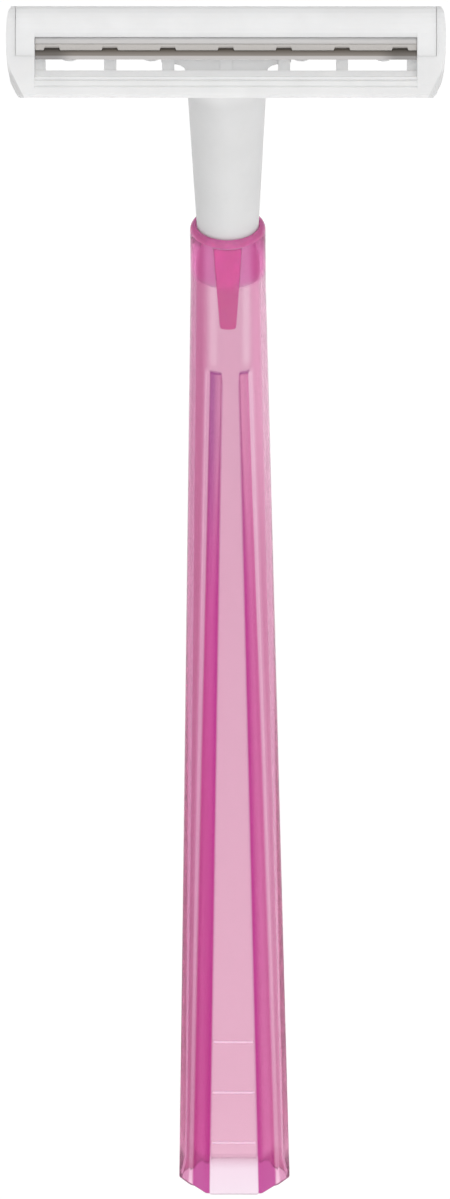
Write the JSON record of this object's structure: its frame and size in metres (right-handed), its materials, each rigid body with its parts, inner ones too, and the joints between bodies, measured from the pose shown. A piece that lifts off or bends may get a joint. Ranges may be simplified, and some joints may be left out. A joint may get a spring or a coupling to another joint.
{
  "type": "cartridge razor",
  "caption": "Fixed-head razor: hollow tapered handle, tilted washable head with guard bar, parallel blades with a spacer, and a riveted top cap.",
  "frame": {"origin": "centre of the round collar at the top of the handle, on its axis", "axes": "+Z along the handle towards the head, -Y towards the side the blades face, X across the head"},
  "size_m": [0.042, 0.0101, 0.1369],
  "materials": {
    "handle_plastic": "glossy translucent",
    "frame_plastic": "satin",
    "blade_steel": "ground",
    "spacer_plastic": "satin",
    "cap_plastic": "satin"
  },
  "bodies": {
    "root": {"handle": "handle_plastic", "head_frame": "frame_plastic", "lower_blade": "blade_steel", "blade_spacer": "spacer_plastic", "upper_blade": "blade_steel", "cap": "cap_plastic"}
  },
  "joints": []
}
